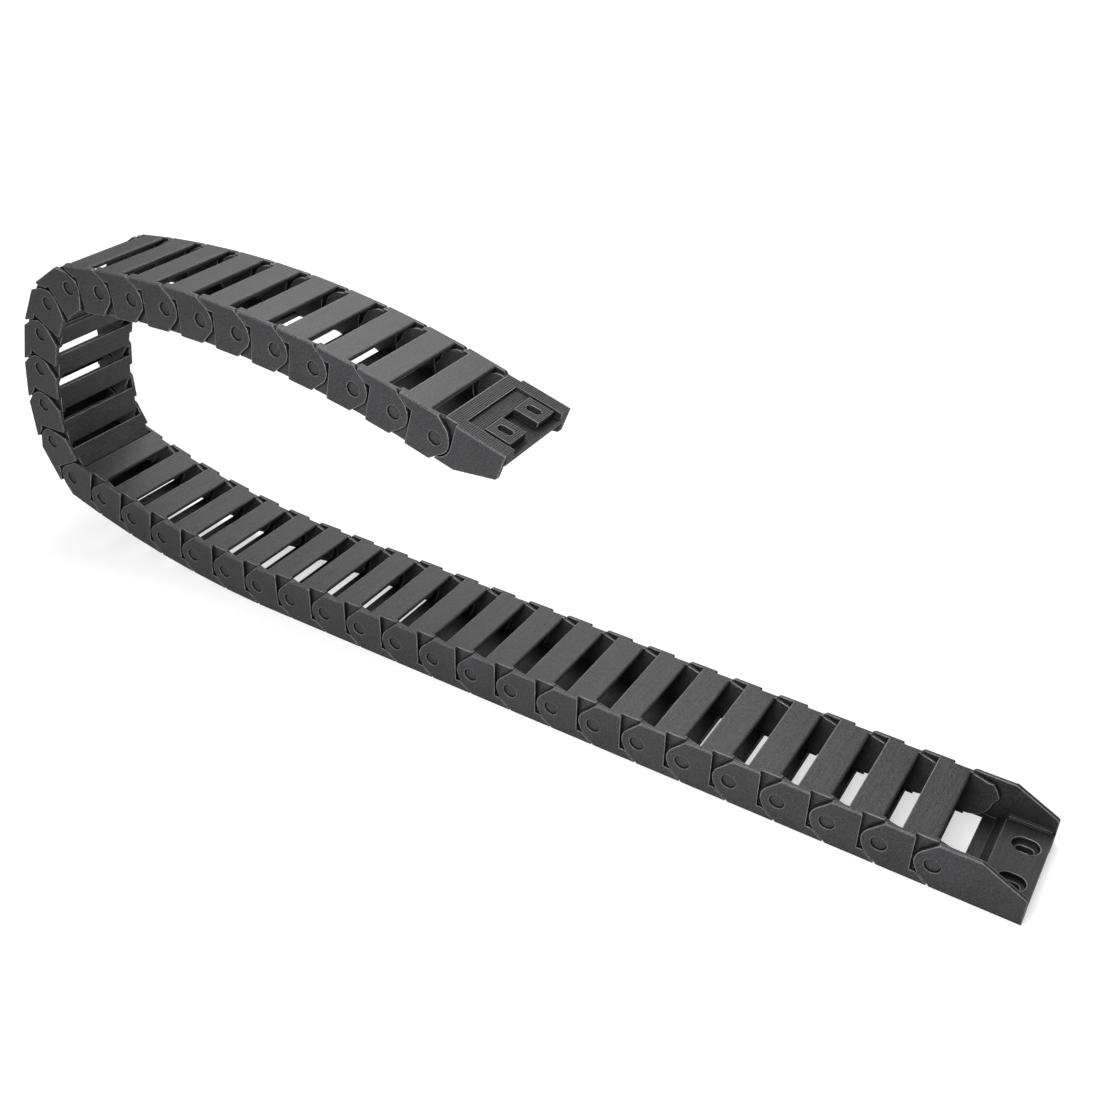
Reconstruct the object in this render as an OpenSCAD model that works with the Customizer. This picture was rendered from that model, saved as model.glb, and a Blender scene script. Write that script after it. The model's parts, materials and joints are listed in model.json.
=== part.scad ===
// Cable drag chain: two end brackets joined by a run of hinged links.
// Every link is one moulding: a pair of stepped side walls and two flat crossbars.
// The inner ears of a link carry round pins that snap into the outer ears of its neighbour.
// The lower run lies on the ground, the chain folds over and the upper run comes back above it.
//
// Link frame: x runs along the chain from pin A towards pin B and the moving end,
// y runs across it, and z points to the side that a bend closes up on.

/* [Chain] */
// Distance between neighbouring hinge axes
pitch = 25; // [24:0.5:28]
// Number of links between the two brackets
link_count = 38; // [36:1:40]
// Hinges of the lower run that stay straight, counted from the fixed bracket
flat_hinges = 16; // [14:1:18]

/* [Cable channel] */
// Clear width of the cable channel
channel_w = 50; // [36:1:70]
// Clear height of the cable channel
channel_h = 21.5; // [20.5:0.25:22.5]

/* [Side walls] */
// Thickness of a crossbar
bar_t = 2.5; // [2.2:0.1:2.8]
// Thickness of an inner ear
ear_t = 2.1; // [1.6:0.1:3]
// Thickness of an outer plate
plate_t = 2.2; // [1.6:0.1:3]
// Play between an inner ear and the outer plate beside it
side_gap = 0.2; // [0.15:0.05:0.4]
// Chamfer along the outside edges of the outer plates
edge_cut = 0.5; // [0.2:0.1:0.6]
// Chamfer on the upper corner of an outer plate's straight edge
nose_cut = 0.8; // [0.7:0.1:1.2]

/* [Hinges] */
// Radius of a hinge pin
pin_r = 3.7; // [3:0.1:4.5]
// Radial play of a pin in its hole
pin_gap = 0.08; // [0.05:0.01:0.1]
// Chamfer on the pin's end and on the mouth of its hole
pin_cut = 0.3; // [0.2:0.05:0.5]
// How far a pin's end lies below the outer plate's face
pin_sink = 0.1; // [0:0.05:0.3]
// Radius of an outer ear round its hole
ear_r = 8.5; // [8:0.1:8.8]
// Gap between an outer ear and the straight edge of the next plate
ear_gap = 1.1; // [1:0.05:1.4]
// Reach of the straight stop's face from the hinge axis
stop_reach = 9.4; // [9.2:0.05:9.5]
// Slope of the straight stop's face
stop_slope = 39; // [37:0.5:41]
// Play left between the straight stops
stop_gap = 0.45; // [0.3:0.05:0.6]
// Height of the notch under each hinge
notch_h = 1.4; // [1:0.1:1.8]
// Largest bend of one hinge
bend_limit = 49; // [46:0.5:50]
// Clearance kept between moving walls over a whole bend
swing_gap = 0.3; // [0.25:0.05:0.4]
// How far an inner ear's round end stays below the walls' height
ear_drop = 1.35; // [1.2:0.05:1.6]
// Length of the horn that an inner ear reaches under the next crossbar
horn_l = 10.2; // [9.5:0.1:10.4]

/* [Crossbars] */
// Start of the inner crossbar from pin A
bar_start = 0.75; // [0.5:0.05:1]
// Start of the outer crossbar from pin A
outer_bar_start = 3.5; // [3:0.1:6]

/* [Brackets] */
// Length of the fixed bracket past its hinge
fixed_l = 42; // [41:0.5:46]
// Length of the moving bracket past its hinge
moving_l = 38.5; // [37.5:0.5:42]
// Distance from the fixed bracket's hinge to its slots
fixed_slot_x = 32; // [31:0.5:33]
// Distance from the moving bracket's hinge to its slots
moving_slot_x = 27; // [26.5:0.5:28]
// Length of the raised flank before the side walls slope down
fixed_flank_l = 20; // [18:0.5:22]
// Height of the side walls' free end above the hinge
wall_end_h = 1.8; // [1:0.2:3]
// Corner radius of the side walls' free end
wall_end_r = 1.8; // [1:0.1:2.5]
// Start of the fixed bracket's floor from the hinge
fixed_floor_x = 9; // [8.5:0.25:10]
// Start of the moving bracket's floor from the hinge
moving_floor_x = 2; // [2:0.25:3]
// Length of the low band of floor next to the hinge
band_l = 8.75; // [6:0.25:9]
// Height of the mounting floor's inner face above the base
floor_h = 7; // [6.5:0.25:7.5]
// Thickness of the mounting floor's wall
floor_t = 3; // [2.5:0.1:3.5]
// Depth of the shallow recess between band and pads
recess_d = 1.2; // [0.8:0.1:1.5]
// Width of the solid shelf along each side wall
shelf_w = 5.8; // [5:0.1:6]
// Height of the small ledge along the floor's sides
ledge_h = 1.4; // [1:0.1:2]
// Width of that ledge
ledge_w = 1.2; // [0.8:0.1:1.5]

/* [Mounting slots] */
// Distance between the two slots of a bracket
slot_spacing = 25; // [24:0.5:26]
// Width of a slot
slot_w = 5.3; // [4.3:0.1:5.5]
// Length of a slot from end to end
slot_l = 8.5; // [7.5:0.5:9]
// Width of the sunk seat for the screw's head
seat_w = 10; // [9.5:0.1:10.5]
// Depth of that seat
seat_d = 3; // [2.5:0.1:3.5]
// Width of a pad
pad_w = 14.2; // [13.8:0.1:14.6]
// Reach of a pad from its slot towards the hinge
pad_back = 7; // [7:0.1:7.5]
// Reach of a pad from its slot towards the free end
pad_front = 7.5; // [7.2:0.1:8]

/* [Resting shape] */
// Bend of each hinge in the run that lifts towards the fold
lead_bend = 2.8; // [2.4:0.1:3]
// Number of hinges in that lifting run
lead_hinges = 6; // [5:1:7]
// Bend of each hinge in the upper run
arch_bend = 2.5; // [2.3:0.1:2.7]

/* [Hidden] */
$fn = 64;
eps = 0.01;
// Bends of the seven hinges that make the fold
fold = [45.5, 26.5, 10.5, 7.5, 13, 26.5, 27];

half_h = channel_h / 2 + bar_t;
ear_out = channel_w / 2 + ear_t;
plate_in = ear_out + side_gap;
chain_w = 2 * (plate_in + plate_t);
edge_x = ear_r + ear_gap;
round_r = half_h - ear_drop;
horn_z = half_h - bar_t - swing_gap;
horn_r = norm([horn_l, horn_z]);
// The corner of an outer ear stays clear of the next plate's edge at the largest bend
ear_back = (half_h * sin(bend_limit) - edge_x + swing_gap) / cos(bend_limit);
// Both crossbars end where the next link's nose and ears swing past
nose_r = norm([bar_start, half_h]) + swing_gap;
bar_end = pitch - sqrt(nose_r ^ 2 - (half_h - bar_t) ^ 2);
outer_bar_end = pitch - sqrt((round_r + swing_gap) ^ 2 - (half_h - bar_t) ^ 2);

fold_start = flat_hinges + lead_hinges;
arch_start = fold_start + len(fold);
slate = [0.25, 0.25, 0.26];

// Bend of hinge k; hinge 0 is at the fixed bracket and hinge link_count at the moving one
function bend(k) = k < flat_hinges ? 0
    : k < fold_start ? lead_bend
    : k < arch_start ? fold[k - fold_start]
    : k < link_count ? arch_bend : 0;
// Heading of link k against the lower run
function heading(k) = k <= 0 ? 0 : heading(k - 1) + bend(k - 1);
// Place of hinge k, counted along the chain from hinge 0
function hinge_at(k) = k <= 0 ? [-fixed_slot_x, 0, half_h]
    : hinge_at(k - 1) + pitch * [-cos(heading(k)), 0, sin(heading(k))];
function link_name(k) = str("link_", k < 10 ? "0" : "", k);

// Point where the line from p touches a circle round the origin, on the side given by turn
function touch(p, r, turn) = let (a = atan2(p.y, p.x) + turn * acos(r / norm(p))) r * [cos(a), sin(a)];
// Point at height z on a stop face that lies at reach from the hinge axis
function on_stop(reach, z) = [(reach + z * cos(stop_slope)) / sin(stop_slope), z];
// Points of a round of radius r that replaces the corner b between a and c
function rounded(a, b, c, r, steps = 6) = let (
        u = (a - b) / norm(a - b), v = (c - b) / norm(c - b),
        half = acos(u * v) / 2, mid = (u + v) / norm(u + v), centre = b + mid * r / sin(half),
        p = b + u * r / tan(half) - centre, q = b + v * r / tan(half) - centre,
        start = atan2(p.y, p.x), raw = atan2(q.y, q.x) - start,
        sweep = raw > 180 ? raw - 360 : raw < -180 ? raw + 360 : raw)
    [for (i = [0 : steps]) centre + r * [cos(start + sweep * i / steps), sin(start + sweep * i / steps)]];

ear_corner = [-ear_back, half_h];
stop_foot = stop_reach * [sin(stop_slope), -cos(stop_slope)];
notch_top = notch_h - half_h;
// Outline of an outer ear from its upper corner round to the notch, hinge at the origin
ear_side = [ear_corner, touch(ear_corner, ear_r, -1), touch(stop_foot, ear_r, 1), stop_foot,
    on_stop(stop_reach, notch_top), on_stop(stop_reach, notch_top) - [notch_h, notch_h]];

// Stands a side outline up in the xz plane, filling y from near to far on both sides
module on_sides(near, far) {
    for (side = [0, 1]) mirror([0, side, 0]) translate([0, far, 0]) rotate([90, 0, 0])
        linear_extrude(far - near) children();
}

// Fills a side outline right across the chain, out to y = +-reach
module across(reach) {
    translate([0, reach, 0]) rotate([90, 0, 0]) linear_extrude(2 * reach) children();
}

// Outer plate of a link: edge, ear and the two faces that stop a backward bend
module link_plate_outline() {
    far_side = [for (p = ear_side) p + [pitch, 0]];
    reach = stop_reach + stop_gap;
    shoulder = stop_foot.y;
    polygon(concat(
        [[edge_x, half_h - nose_cut], [edge_x + nose_cut, half_h]], far_side,
        [[on_stop(reach, notch_top).x, -half_h], on_stop(reach, notch_top), on_stop(reach, shoulder),
         [edge_x, shoulder]]));
    translate([pitch, 0]) circle(ear_r);
}

// Round end of an inner ear, with its horn under the next crossbar
module inner_ear_outline() {
    circle(round_r);
    intersection() {
        circle(horn_r);
        polygon([[0, 0], [0, half_h - edge_cut], [-ear_r + bar_start, horn_z], [-horn_r, horn_z],
            [-horn_r, ear_r / 2], [-round_r, -bar_start]]);
    }
}

// Inner plate of a link: it ends where the next link's ears swing
module link_inner_outline() {
    difference() {
        union() {
            inner_ear_outline();
            translate([0, -half_h]) square([pitch, 2 * half_h]);
        }
        translate([pitch, 0]) circle(horn_r + swing_gap);
        translate([bar_end, 0]) square(pitch);
        translate([outer_bar_end, -pitch]) square(pitch);
    }
}

// One crossbar in side view from x0 to x1 with a soft round at the end named by soft_x
module bar_outline(x0, x1, z0, soft_x) {
    r = bar_t / 2;
    flat_0 = soft_x == x0 ? x0 + r : x0;
    flat_1 = soft_x == x1 ? x1 - r : x1;
    translate([flat_0, z0]) square([flat_1 - flat_0, bar_t]);
    translate([soft_x == x0 ? flat_0 : flat_1, z0 + r]) circle(r);
}

// Hinge pins on the outside of a pair of inner ears
module hinge_pins() {
    straight_l = ear_t / 2 + side_gap + plate_t - pin_sink - pin_cut;
    for (side = [0, 1]) mirror([0, side, 0]) translate([0, ear_out - ear_t / 2, 0]) rotate([-90, 0, 0]) {
        cylinder(r = pin_r, h = straight_l);
        translate([0, 0, straight_l]) cylinder(r1 = pin_r, r2 = pin_r - pin_cut, h = pin_cut);
    }
}

// Holes for the pins through a pair of outer ears, with a chamfered mouth
module hinge_holes() {
    hole_r = pin_r + pin_gap;
    for (side = [0, 1]) mirror([0, side, 0]) translate([0, plate_in, 0]) rotate([-90, 0, 0]) {
        translate([0, 0, -side_gap / 2]) cylinder(r = hole_r, h = plate_t + side_gap);
        translate([0, 0, plate_t - pin_cut]) cylinder(r1 = hole_r, r2 = hole_r + pin_cut, h = pin_cut);
        translate([0, 0, plate_t - eps]) cylinder(r = hole_r + pin_cut, h = side_gap);
    }
}

// Chamfer along the outside edge of both outer plates, at the height z = face * half_h
module plate_edge_cuts(x0, x1, face) {
    far = chain_w / 2;
    for (side = [0, 1]) mirror([0, side, 0]) translate([x0, 0, 0]) rotate([90, 0, 90]) linear_extrude(x1 - x0)
        polygon([for (p = [[-2, 1], [1, 1], [1, -2]]) [far + p.x * edge_cut, face * (half_h + p.y * edge_cut)]]);
}

// One chain link in its own frame
module link_body() {
    difference() {
        union() {
            on_sides(channel_w / 2, ear_out) link_inner_outline();
            on_sides(plate_in, chain_w / 2) link_plate_outline();
            on_sides(channel_w / 2, chain_w / 2) intersection() {
                link_inner_outline();
                link_plate_outline();
            }
            across(ear_out) bar_outline(bar_start, bar_end, half_h - bar_t, bar_start);
            across(ear_out) bar_outline(outer_bar_start, outer_bar_end, -half_h, outer_bar_end);
            across(plate_in + eps) bar_outline(edge_x + bar_t, bar_end, half_h - bar_t, edge_x + bar_t);
            across(plate_in + eps) bar_outline(edge_x, outer_bar_end, -half_h, outer_bar_end);
        }
        translate([pitch, 0, 0]) hinge_holes();
        plate_edge_cuts(0, 2 * pitch, 1);
        plate_edge_cuts(0, 2 * pitch, -1);
    }
    hinge_pins();
}

// Obround of the given length and width round the origin, its length along x
module obround(l, w) {
    for (end = [-1, 1]) translate([end * (l - w) / 2, 0]) circle(w / 2);
    square([l - w, w], center = true);
}

// Mounting floor of a bracket; x runs from the hinge to the free end, the base is at -half_h
module mounting_floor(x0, slot_x, x1) {
    band_end = x0 + band_l;
    floor_z = floor_h - half_h;
    rise = floor_h - bar_t;
    pad_x = slot_x - pad_back;
    inside = plate_in + eps;
    difference() {
        union() {
            across(inside) polygon([[x0, -half_h], [x0, bar_t - half_h], [band_end - bar_t, bar_t - half_h],
                [band_end - bar_t + rise, floor_z], [x1, floor_z], [x1, -half_h]]);
            on_sides(plate_in - ledge_w, inside) translate([band_end + bar_t, floor_z - eps])
                square([x1 - band_end - bar_t - ledge_w, ledge_h]);
        }
        // Shallow recess between the band and the pads, and the deep channels round the pads
        difference() {
            translate([0, 0, -half_h - eps]) linear_extrude(floor_h - floor_t + eps)
                translate([pad_x, shelf_w - plate_in]) square([x1, 2 * (plate_in - shelf_w)]);
            for (side = [-1, 1]) translate([slot_x - pad_back, side * slot_spacing / 2 - pad_w / 2, -half_h])
                cube([pad_back + pad_front, pad_w, floor_h]);
        }
        translate([band_end, shelf_w - plate_in, -half_h - eps])
            cube([pad_x - band_end, 2 * (plate_in - shelf_w), recess_d + eps]);
        for (side = [-1, 1]) translate([slot_x, side * slot_spacing / 2, -half_h]) {
            translate([0, 0, -eps]) linear_extrude(floor_h + 2 * eps) obround(slot_l, slot_w);
            translate([0, 0, floor_h - seat_d])
                linear_extrude(seat_d + eps) obround(slot_l - slot_w + seat_w, seat_w);
        }
    }
}

// Side wall of the fixed bracket, seen from the side in the link frame
module fixed_wall_outline() {
    free_end = [-fixed_l, wall_end_h];
    shoulder = [-fixed_flank_l, half_h];
    base_end = [-fixed_l, -half_h];
    polygon(concat(ear_side, [base_end], rounded(base_end, free_end, shoulder, wall_end_r),
        rounded(free_end, shoulder, ear_corner, wall_end_r)));
    circle(ear_r);
}

// Bracket that the chain is screwed down by: outer ears, sloping side walls and a slotted floor
module fixed_end_bracket() {
    difference() {
        union() {
            on_sides(plate_in, chain_w / 2) fixed_wall_outline();
            rotate([0, 0, 180]) mounting_floor(fixed_floor_x, fixed_slot_x, fixed_l);
        }
        hinge_holes();
        plate_edge_cuts(-fixed_flank_l + edge_cut, pitch, 1);
        plate_edge_cuts(-2 * pitch, pitch, -1);
    }
}

// Side wall of the moving bracket: open towards the base side of the last ear, close behind it
module moving_wall_outline() {
    top_z = half_h - 2 * wall_end_h + ear_gap;
    top_0 = edge_x + bar_t + wall_end_h;
    free_end = [moving_l - ledge_w, wall_end_h];
    base_end = [moving_l, -half_h];
    slope_foot = touch(ear_corner, ear_r, -1);
    difference() {
        polygon(concat([[edge_x, -half_h], base_end], rounded(base_end, free_end, [top_0, top_z], wall_end_r),
            [[top_0, top_z], [0, top_z], [0, -ear_gap], [edge_x, -ear_gap]]));
        circle(edge_x);
        // The face that stops an inward swing runs along the last ear's slope
        intersection() {
            rotate(atan2(slope_foot.y, slope_foot.x)) translate([ear_r + stop_gap - 2 * pitch, -pitch])
                square([2 * pitch, 2 * pitch]);
            translate([-pitch, slope_foot.y]) square([2 * pitch, pitch]);
        }
    }
}

// Inner ears of the moving bracket, which swing outward as one with its floor
module moving_inner_outline() {
    circle(round_r);
    translate([moving_floor_x, -half_h]) square([edge_x, 2 * half_h - ear_drop]);
}

// Bracket that travels with the machine: inner ears with pins, side walls and a slotted floor
module moving_end_bracket() {
    difference() {
        union() {
            on_sides(channel_w / 2, ear_out) intersection() {
                moving_inner_outline();
                translate([-pitch, -half_h]) square([2 * pitch, 2 * half_h - 2 * wall_end_h + ear_gap]);
            }
            on_sides(ear_out - eps, chain_w / 2) moving_wall_outline();
            difference() {
                mounting_floor(moving_floor_x, moving_slot_x, moving_l);
                on_sides(ear_out, chain_w) translate([-eps, -half_h - eps]) square([edge_x, half_h]);
            }
        }
        plate_edge_cuts(0, 2 * pitch, -1);
    }
    hinge_pins();
}

// Places a piece in the link frame of link k
module at_link(k) {
    translate(hinge_at(k - 1)) rotate([0, heading(k), 0]) rotate([0, 0, 180]) children();
}

module fixed_bracket_node() {
    color(slate) at_link(1) fixed_end_bracket();
}

module link_node(k) {
    color(slate) at_link(k) link_body();
}

module moving_bracket_node() {
    color(slate) at_link(link_count + 1) moving_end_bracket();
}

fixed_bracket_node();  // fixed_end_bracket
for (k = [1 : link_count]) link_node(k);
moving_bracket_node();  // moving_end_bracket
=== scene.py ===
"""Dresses the cable drag chain: a moulded skin for every link and bracket, a pale studio and the camera."""

import json
import logging
import math
from dataclasses import dataclass
from enum import Enum

import bpy
from mathutils import Matrix, Vector

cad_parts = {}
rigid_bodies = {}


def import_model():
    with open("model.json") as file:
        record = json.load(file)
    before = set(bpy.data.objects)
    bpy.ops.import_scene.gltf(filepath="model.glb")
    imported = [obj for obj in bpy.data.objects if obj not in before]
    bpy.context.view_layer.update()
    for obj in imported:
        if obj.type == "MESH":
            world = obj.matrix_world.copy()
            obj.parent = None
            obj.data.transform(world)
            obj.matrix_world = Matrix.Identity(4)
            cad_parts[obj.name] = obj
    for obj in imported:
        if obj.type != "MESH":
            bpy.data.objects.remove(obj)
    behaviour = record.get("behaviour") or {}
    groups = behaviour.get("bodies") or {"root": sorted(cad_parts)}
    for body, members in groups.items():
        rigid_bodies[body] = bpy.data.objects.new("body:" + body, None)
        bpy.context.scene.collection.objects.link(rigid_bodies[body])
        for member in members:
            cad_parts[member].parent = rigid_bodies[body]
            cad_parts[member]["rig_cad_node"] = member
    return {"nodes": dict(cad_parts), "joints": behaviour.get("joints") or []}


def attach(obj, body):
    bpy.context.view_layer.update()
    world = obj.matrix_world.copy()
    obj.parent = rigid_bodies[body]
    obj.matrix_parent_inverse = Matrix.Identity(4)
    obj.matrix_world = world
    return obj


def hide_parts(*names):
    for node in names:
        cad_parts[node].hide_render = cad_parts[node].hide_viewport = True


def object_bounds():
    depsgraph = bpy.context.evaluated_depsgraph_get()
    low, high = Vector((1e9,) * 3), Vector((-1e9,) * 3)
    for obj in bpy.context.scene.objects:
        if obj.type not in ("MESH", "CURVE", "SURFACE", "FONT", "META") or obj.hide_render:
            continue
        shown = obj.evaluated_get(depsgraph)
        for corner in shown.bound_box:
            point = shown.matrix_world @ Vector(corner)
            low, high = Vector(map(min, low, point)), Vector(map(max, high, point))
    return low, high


log = logging.getLogger("drag_chain")
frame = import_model()
CAD_BOUNDS = [list(corner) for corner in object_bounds()]
# A wave texture repeats once in each 0.314 of its scaled coordinate
WAVE_PERIOD = 0.314
WHITE = (1.0, 1.0, 1.0, 1.0)

Triple = tuple[float, float, float]
Span = tuple[float, float]


class Moulding(Enum):
    """The mouldings that the chain is made of, each by how its solids' names begin."""

    LINK = "link"
    FIXED_BRACKET = "fixed_end_bracket"
    MOVING_BRACKET = "moving_end_bracket"


class Value:
    """A number or vector output in a shader, which takes part in sums as a plain number does."""

    def __init__(self, graph: "Graph", socket: bpy.types.NodeSocket) -> None:
        """Keeps the output.

        Args:
            graph: The node graph that the output belongs to.
            socket: The output itself.
        """
        self.graph = graph
        self.socket = socket

    def _math(self, operation: str, other: "Value | float", swap: bool = False) -> "Value":
        """Joins this value and another through a Math node.

        Args:
            operation: The Math node's operation.
            other: The second operand.
            swap: Whether the operands change places.

        Returns:
            The result.
        """
        pair = (other, self) if swap else (self, other)
        return self.graph.node("ShaderNodeMath", {0: pair[0], 1: pair[1]}, operation=operation)

    def __add__(self, other: "Value | float") -> "Value":
        """Sum."""
        return self._math("ADD", other)

    def __sub__(self, other: "Value | float") -> "Value":
        """Difference."""
        return self._math("SUBTRACT", other)

    def __rsub__(self, other: "Value | float") -> "Value":
        """Difference from a number."""
        return self._math("SUBTRACT", other, swap=True)

    def __mul__(self, other: "Value | float") -> "Value":
        """Product."""
        return self._math("MULTIPLY", other)

    __radd__ = __add__
    __rmul__ = __mul__

    def between(self, low: float, high: float) -> "Value":
        """Smooth rise from 0 at low to 1 at high.

        Args:
            low: Where the rise begins.
            high: Where it ends.

        Returns:
            The share of the rise.
        """
        return self.graph.node(
            "ShaderNodeMapRange",
            {"Value": self, "From Min": low, "From Max": high},
            interpolation_type="SMOOTHSTEP",
        )


class Graph:
    """The node tree of one material."""

    def __init__(self, name: str) -> None:
        """Makes an empty material.

        Args:
            name: The material's name.
        """
        self.material = bpy.data.materials.new(name)
        self.material.use_nodes = True
        self.tree = self.material.node_tree
        self.tree.nodes.clear()

    def node(
        self,
        kind: str,
        inputs: dict[int | str, object] | None = None,
        output: int | str = 0,
        **settings: object,
    ) -> Value:
        """Adds a node and feeds its inputs.

        Args:
            kind: The node's type name.
            inputs: Input name or number to a Value, number or tuple.
            output: The output that is handed back.
            **settings: The node's own properties.

        Returns:
            The chosen output.
        """
        made = self.tree.nodes.new(kind)
        for key, setting in settings.items():
            setattr(made, key, setting)
        for key, source in (inputs or {}).items():
            if isinstance(source, Value):
                self.tree.links.new(source.socket, made.inputs[key])
            else:
                made.inputs[key].default_value = source
        chosen = made.outputs[output] if len(made.outputs) else None
        return Value(self, chosen)

    def place(self, stretch: Triple) -> Value:
        """Object coordinates stretched along each axis.

        Args:
            stretch: Factor for X, Y and Z.

        Returns:
            The stretched coordinates.
        """
        here = self.node("ShaderNodeTexCoord", output="Object")
        return self.node("ShaderNodeMapping", {"Vector": here, "Scale": stretch})

    def noise(self, at: Value, scale: float, detail: float = 2.0, roughness: float = 0.5) -> Value:
        """Soft noise from 0 to 1.

        Args:
            at: The coordinates.
            scale: Lumps per metre.
            detail: Octaves.
            roughness: Share of the fine octaves.

        Returns:
            The noise.
        """
        return self.node(
            "ShaderNodeTexNoise",
            {"Vector": at, "Scale": scale, "Detail": detail, "Roughness": roughness},
            output="Fac",
        )

    def dot(self, one: Value | Triple, other: Value | Triple) -> Value:
        """Dot product, 1 where two unit vectors point the same way.

        Args:
            one: First vector.
            other: Second vector.

        Returns:
            The product.
        """
        pair = {0: one, 1: other}
        return self.node("ShaderNodeVectorMath", pair, output="Value", operation="DOT_PRODUCT")

    def bump(self, height: Value, depth: float, under: Value) -> Value:
        """Relief on top of another relief.

        Args:
            height: The relief's height from 0 to 1.
            depth: Its full depth in metres.
            under: The normal below it.

        Returns:
            The normal with the relief.
        """
        return self.node(
            "ShaderNodeBump",
            {"Height": height, "Distance": depth, "Strength": 1.0, "Normal": under},
        )

    def mix(self, share: Value, low: Triple | Value, high: Triple | Value) -> Value:
        """Blends two colours.

        Args:
            share: 0 for the first, 1 for the second.
            low: First colour.
            high: Second colour.

        Returns:
            The blend.
        """
        made = self.tree.nodes.new("ShaderNodeMix")
        made.data_type = "RGBA"
        self.tree.links.new(share.socket, made.inputs[0])
        for slot, colour in ((6, low), (7, high)):
            if isinstance(colour, Value):
                self.tree.links.new(colour.socket, made.inputs[slot])
            else:
                made.inputs[slot].default_value = (*colour, 1.0)
        return Value(self, made.outputs[2])


@dataclass(frozen=True)
class ChainPlastic:
    """Slate-grey moulded nylon: matt grain, drawn streaks, painted shade in seams and hollows, and paler
    edges that are partly wear and partly a painted highlight.

    Lengths are in metres, and a span is where a smooth step begins and ends.
    """

    name: str
    body: Triple = (0.028, 0.0284, 0.03)
    # Pale edge colour, partly wear and partly a painted highlight
    wear_and_highlight: Triple = (0.33, 0.335, 0.345)
    # Near-black painted shade colour, which seams, hollows and inner corners darken towards
    painted_shade: Triple = (0.004, 0.004, 0.0045)
    # Factors on the body colour where the tone is darkest and palest, and the weights of what mixes it
    dark_share: float = 0.46
    pale_share: float = 1.62
    patch_weight: float = 0.12
    streak_weight: float = 0.38
    grain_weight: float = 0.5
    tone_span: Span = (0.36, 0.64)
    patch_per_m: float = 55.0
    grain_per_m: float = 1150.0
    grain_depth: float = 0.0002
    streak_per_m: float = 1500.0
    streak_stretch: float = 0.03
    streak_depth: float = 0.00012
    # Pale edges, partly wear and partly a painted highlight: how far a normal turns by rounding, how open
    # the air is, and the scuffs that break it up
    edge_round: float = 0.001
    edge_span: Span = (0.82, 0.995)
    ridge_span: Span = (0.80, 0.96)
    scuff_per_m: float = 240.0
    scuff_span: Span = (0.35, 0.62)
    scuff_weight: float = 0.35
    # Shade in seams, in the moulding's own hollows and in inner corners
    seam_reach: float = 0.0022
    seam_span: Span = (0.52, 0.97)
    hollow_reach: float = 0.030
    hollow_span: Span = (0.55, 0.98)
    hollow_least: float = 0.12
    crease_weight: float = 0.85
    roughness: float = 0.46
    patch_roughness: float = 0.16
    streak_roughness: float = 0.12
    sheen_level: float = 0.45
    # Ribs across the outer face; no pitch means no ribs
    rib_pitch: float = 0.0
    rib_depth: float = 0.00035
    rib_turn: float = 0.0
    rib_waver: float = 0.6
    rib_face_span: Span = (0.9, 0.98)

    def edges(self, g: Graph, rounded: Value) -> Value:
        """Share of edge at a point, 0 on a flat face and 1 on an edge.

        Args:
            g: The material's graph.
            rounded: The normal with its edges rounded off.

        Returns:
            The share.
        """
        shading = g.node("ShaderNodeNewGeometry", output="Normal")
        return 1.0 - g.dot(rounded, shading).between(*self.edge_span)

    def openness(self, g: Graph, reach: float, own: bool) -> Value:
        """Share of open air round a point, 0 deep in a gap and 1 in the open.

        Args:
            g: The material's graph.
            reach: How far away a wall still counts.
            own: Whether only the moulding's own walls count.

        Returns:
            The share.
        """
        return g.node(
            "ShaderNodeAmbientOcclusion",
            {"Distance": reach},
            output="AO",
            samples=8,
            only_local=own,
        )

    def material(self) -> bpy.types.Material:
        """Builds the finish.

        Returns:
            The material.
        """
        g = Graph(self.name)
        plain = g.place((1.0, 1.0, 1.0))
        drawn = g.place((1.0, self.streak_stretch, 1.0))
        patch = g.noise(plain, self.patch_per_m, detail=3.0)
        grain = g.noise(plain, self.grain_per_m, detail=2.0, roughness=0.6)
        streak = g.noise(drawn, self.streak_per_m, detail=3.0, roughness=0.65)
        scuff = g.noise(plain, self.scuff_per_m, detail=3.0).between(*self.scuff_span)
        rounded = g.node("ShaderNodeBevel", {"Radius": self.edge_round}, samples=6)
        edge = self.edges(g, rounded)
        seam_air = self.openness(g, self.seam_reach, own=False)
        hollow_air = self.openness(g, self.hollow_reach, own=True)

        mixed = patch * self.patch_weight + streak * self.streak_weight + grain * self.grain_weight
        dark = tuple(channel * self.dark_share for channel in self.body)
        pale = tuple(channel * self.pale_share for channel in self.body)
        bare = g.mix(mixed.between(*self.tone_span), dark, pale)
        ridge = seam_air.between(*self.ridge_span)
        # Painted edge highlight, partly wear: paler on open outer edges, broken up by scuffs
        wear_and_highlight_share = edge * ridge * ((1.0 - self.scuff_weight) + self.scuff_weight * scuff)
        # Painted shade: darker in inner corners, deep in seams and in the moulding's own hollows, by how
        # little open air is round a point
        crease = edge * (1.0 - ridge)
        hollow = self.hollow_least + (1.0 - self.hollow_least) * hollow_air.between(*self.hollow_span)
        lit = seam_air.between(*self.seam_span) * hollow * (1.0 - self.crease_weight * crease)
        # The bare tone darkened by the painted shade, with the pale edges (painted highlight and wear) on
        # top
        colour = g.mix(wear_and_highlight_share, g.mix(lit, self.painted_shade, bare), self.wear_and_highlight)

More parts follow.
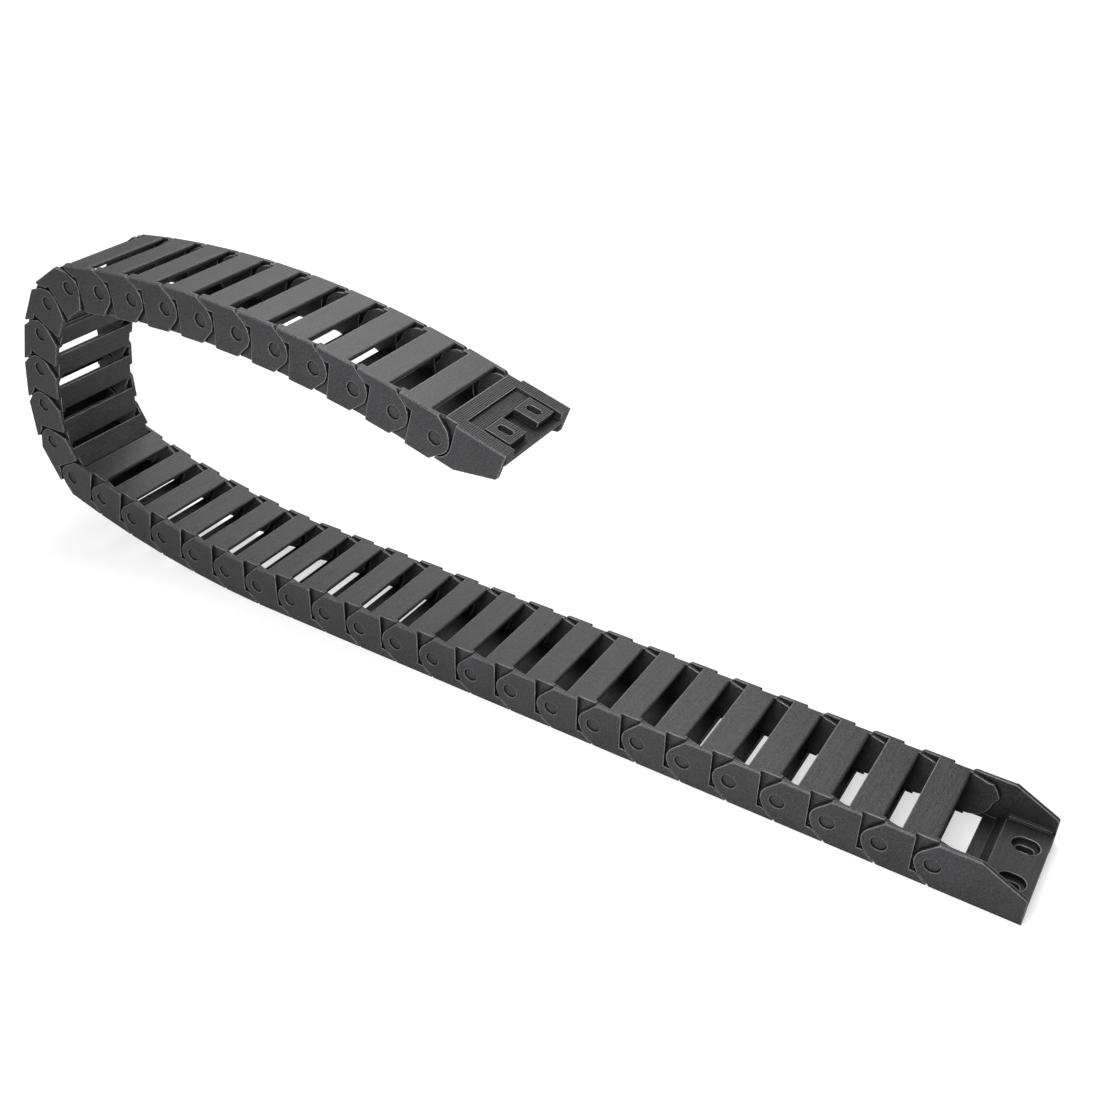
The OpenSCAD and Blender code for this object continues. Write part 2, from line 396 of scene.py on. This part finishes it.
        unevenness = self.patch_roughness * (patch - 0.5) + self.streak_roughness * (streak - 0.5)
        relief = g.bump(streak, self.streak_depth, rounded)
        relief = g.bump(grain, self.grain_depth, relief)
        if self.rib_pitch:
            relief = self.ribs(g, relief)
        shader = g.node(
            "ShaderNodeBsdfPrincipled",
            {
                "Base Color": colour,
                "Roughness": self.roughness + unevenness,
                "Normal": relief,
                "Specular IOR Level": self.sheen_level,
            },
        )
        g.node("ShaderNodeOutputMaterial", {"Surface": shader})
        return g.material

    def ribs(self, g: Graph, under: Value) -> Value:
        """Adds fine ribs across the outer face, one each rib_pitch, on the faces that look outwards.

        Args:
            g: The material's graph.
            under: The relief below the ribs.

        Returns:
            The relief with the ribs.
        """
        here = g.node("ShaderNodeTexCoord", output="Object")
        along = g.node("ShaderNodeMapping", {"Vector": here, "Rotation": (0.0, self.rib_turn, 0.0)})
        wave = g.node(
            "ShaderNodeTexWave",
            {
                "Vector": along,
                "Scale": WAVE_PERIOD / self.rib_pitch,
                "Distortion": self.rib_waver,
                "Detail": 1.0,
            },
            output="Fac",
            wave_type="BANDS",
            bands_direction="X",
        )
        normal = g.node("ShaderNodeTexCoord", output="Normal")
        outward = (-math.sin(self.rib_turn), 0.0, math.cos(self.rib_turn))
        faces = g.dot(normal, outward).between(*self.rib_face_span)
        return g.bump(wave * faces, self.rib_depth, under)


@dataclass
class DragChain:
    """The hinged run of links with a bracket at each end, and the skins that show in place of the solids.

    Attributes:
        link_finish: Finish of every link.
        fixed_finish: Finish of the fixed bracket.
        moving_finish: Finish of the moving bracket, which has fine ribs.
        pin_reach: Distance from the hinge axis that takes in a pin, a little over its radius.
        pin_search: Depth below the plates' outer faces that takes in a pin's end and its chamfer.
        pin_hollow: How much deeper the pins' ends lie in the skins, in the shade of their bores.
        weld: Distance under which a solid's split corners become one.
        smooth_angle: Angle between faces from which an edge stays sharp.
    """

    link_finish: ChainPlastic = ChainPlastic("slate_link_plastic")
    fixed_finish: ChainPlastic = ChainPlastic("slate_fixed_bracket_plastic", streak_depth=0.00008)
    moving_finish: ChainPlastic = ChainPlastic(
        "slate_moving_bracket_plastic", rib_pitch=0.0011, rib_turn=math.radians(-15.8)
    )
    pin_reach: float = 0.00375
    pin_search: float = 0.00045
    pin_hollow: float = 0.0008
    weld: float = 1e-6
    smooth_angle: float = math.radians(30.0)

    def moulding(self, name: str) -> bpy.types.Object:
        """Copies a solid moulding into one closed skin.

        Args:
            name: The solid's name.

        Returns:
            The visible moulding, which rides on the same body.
        """
        solid = frame["nodes"][name]
        bpy.ops.object.select_all(action="DESELECT")
        solid.select_set(True)
        bpy.context.view_layer.objects.active = solid
        bpy.ops.object.duplicate()
        skin = bpy.context.object
        skin.name = "moulded_" + name
        del skin["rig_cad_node"]
        bpy.ops.object.mode_set(mode="EDIT")
        bpy.ops.mesh.select_all(action="SELECT")
        bpy.ops.mesh.remove_doubles(threshold=self.weld)
        bpy.ops.mesh.customdata_custom_splitnormals_clear()
        bpy.ops.object.mode_set(mode="OBJECT")
        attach(skin, name)
        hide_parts(name)
        return skin

    def sink_pins(self, skin: bpy.types.Object, axle: Triple) -> None:
        """Sinks both pin ends of a moulding deeper below the outer plates that they sit in.

        Args:
            skin: The moulding that carries the pins.
            axle: A point on their hinge axis.
        """
        shoulder = CAD_BOUNDS[1][1] - self.pin_search
        for side in (-1.0, 1.0):
            bpy.ops.object.mode_set(mode="EDIT")
            bpy.ops.mesh.select_mode(type="VERT")
            bpy.ops.mesh.select_all(action="DESELECT")
            bpy.ops.object.mode_set(mode="OBJECT")
            for vertex in skin.data.vertices:
                away = math.hypot(vertex.co.x - axle[0], vertex.co.z - axle[2])
                vertex.select = away < self.pin_reach and vertex.co.y * side > shoulder
            bpy.ops.object.mode_set(mode="EDIT")
            bpy.ops.transform.translate(value=(0.0, -side * self.pin_hollow, 0.0))
            bpy.ops.object.mode_set(mode="OBJECT")

    def dress(self) -> None:
        """Makes every moulding's visible skin and gives it its finish."""
        finishes = {
            Moulding.LINK: self.link_finish.material(),
            Moulding.FIXED_BRACKET: self.fixed_finish.material(),
            Moulding.MOVING_BRACKET: self.moving_finish.material(),
        }
        axles = {joint["child"]: joint["pos_m"] for joint in frame["joints"]}
        for name in frame["nodes"]:
            kind = next(moulding for moulding in Moulding if name.startswith(moulding.value))
            skin = self.moulding(name)
            if name in axles:
                self.sink_pins(skin, axles[name])
            bpy.ops.object.shade_smooth_by_angle(angle=self.smooth_angle)
            skin.data.materials.clear()
            skin.data.materials.append(finishes[kind])
            log.info("%s dressed as %s", skin.name, kind.value)


@dataclass(frozen=True)
class SoftLamp:
    """One soft square lamp: its place, the point it faces, its side in metres and its power."""

    name: str
    place: Triple
    aim: Triple
    size: float
    watts: float

    def hang(self) -> None:
        """Adds the lamp."""
        bpy.ops.object.light_add(type="AREA", location=self.place)
        lamp = bpy.context.object
        lamp.name = self.name
        lamp.data.size = self.size
        lamp.data.energy = self.watts
        lamp.rotation_euler = (Vector(self.aim) - Vector(self.place)).to_track_quat("-Z", "Y").to_euler()


@dataclass
class Studio:
    """Pale floor, soft lamps and the camera."""

    # The camera: lens and sensor in millimetres, its place, where it looks and where its right side points
    lens: float = 42.25
    sensor: float = 36.0
    eye: Triple = (0.0278, -0.4651, 0.4471)
    look: Triple = (-0.42945, 0.71416, -0.55276)
    right: Triple = (0.85161, 0.52395, 0.01529)
    middle: Triple = (-0.3, 0.0, 0.0)
    floor_size: float = 30.0
    floor_drop: float = 0.0002
    floor_colour: Triple = (0.55, 0.55, 0.55)
    # The camera alone sees the floor glow, less near the middle so that the shadow stays
    glow_near: float = 0.57
    glow_more: float = 0.41
    glow_span: Span = (0.45, 1.15)
    sky_light: float = 0.22
    lamps: tuple[SoftLamp, ...] = (
        SoftLamp("top_lamp", (-0.45, 0.35, 0.95), aim=(-0.3, 0.0, 0.05), size=0.8, watts=7.5),
        SoftLamp("back_lamp", (-1.2, 1.2, 1.1), aim=(-0.3, 0.0, 0.05), size=1.2, watts=6.0),
        SoftLamp("front_lamp", (-0.15, -0.6, 0.45), aim=(-0.2, 0.0, 0.1), size=0.4, watts=6.0),
    )

    def camera(self) -> None:
        """Adds the camera."""
        ahead = Vector(self.look).normalized()
        side = (Vector(self.right) - ahead * ahead.dot(Vector(self.right))).normalized()
        turn = Matrix((side, side.cross(ahead), -ahead)).transposed().to_4x4()
        bpy.ops.object.camera_add()
        cam = bpy.context.object
        cam.name = "camera"
        cam.matrix_world = Matrix.Translation(self.eye) @ turn
        cam.data.lens = self.lens
        cam.data.sensor_width = self.sensor
        cam.data.clip_start = 0.01
        cam.data.clip_end = 100.0
        bpy.context.scene.camera = cam

    def floor(self) -> None:
        """Adds the pale floor, which keeps the chain's shadow and is white further off."""
        bpy.ops.mesh.primitive_plane_add(size=self.floor_size, location=(0.0, 0.0, -self.floor_drop))
        plane = bpy.context.object
        plane.name = "floor"
        g = Graph("pale_floor")
        seen = g.node("ShaderNodeLightPath", output="Is Camera Ray")
        matt = g.node("ShaderNodeBsdfDiffuse", {"Color": (*self.floor_colour, 1.0)})
        here = g.node("ShaderNodeTexCoord", output="Object")
        apart = {0: here, 1: self.middle}
        away = g.node("ShaderNodeVectorMath", apart, output="Value", operation="DISTANCE")
        shine = seen * (self.glow_near + self.glow_more * away.between(*self.glow_span))
        glow = g.node("ShaderNodeEmission", {"Color": WHITE, "Strength": shine})
        both = g.node("ShaderNodeAddShader", {0: matt, 1: glow})
        g.node("ShaderNodeOutputMaterial", {"Surface": both})
        plane.data.materials.append(g.material)

    def world(self) -> None:
        """Soft even light from all round, white where the camera sees it."""
        world = bpy.data.worlds.new("studio")
        world.use_nodes = True
        tree = world.node_tree
        tree.nodes.clear()
        path = tree.nodes.new("ShaderNodeLightPath")
        light = tree.nodes.new("ShaderNodeBackground")
        light.inputs["Color"].default_value = WHITE
        light.inputs["Strength"].default_value = self.sky_light
        white = tree.nodes.new("ShaderNodeBackground")
        white.inputs["Color"].default_value = WHITE
        mix = tree.nodes.new("ShaderNodeMixShader")
        out = tree.nodes.new("ShaderNodeOutputWorld")
        tree.links.new(path.outputs["Is Camera Ray"], mix.inputs[0])
        tree.links.new(light.outputs[0], mix.inputs[1])
        tree.links.new(white.outputs[0], mix.inputs[2])
        tree.links.new(mix.outputs[0], out.inputs["Surface"])
        bpy.context.scene.world = world

    def build(self) -> None:
        """Adds the whole studio."""
        self.camera()
        self.floor()
        self.world()
        for lamp in self.lamps:
            lamp.hang()
        bpy.context.scene.view_settings.view_transform = "Standard"
        log.info("studio ready")


def main() -> None:
    """Builds the studio and dresses the chain."""
    logging.basicConfig(level=logging.INFO, format="%(name)s: %(message)s")
    Studio().build()
    DragChain().dress()


if __name__ == "__main__":
    main()
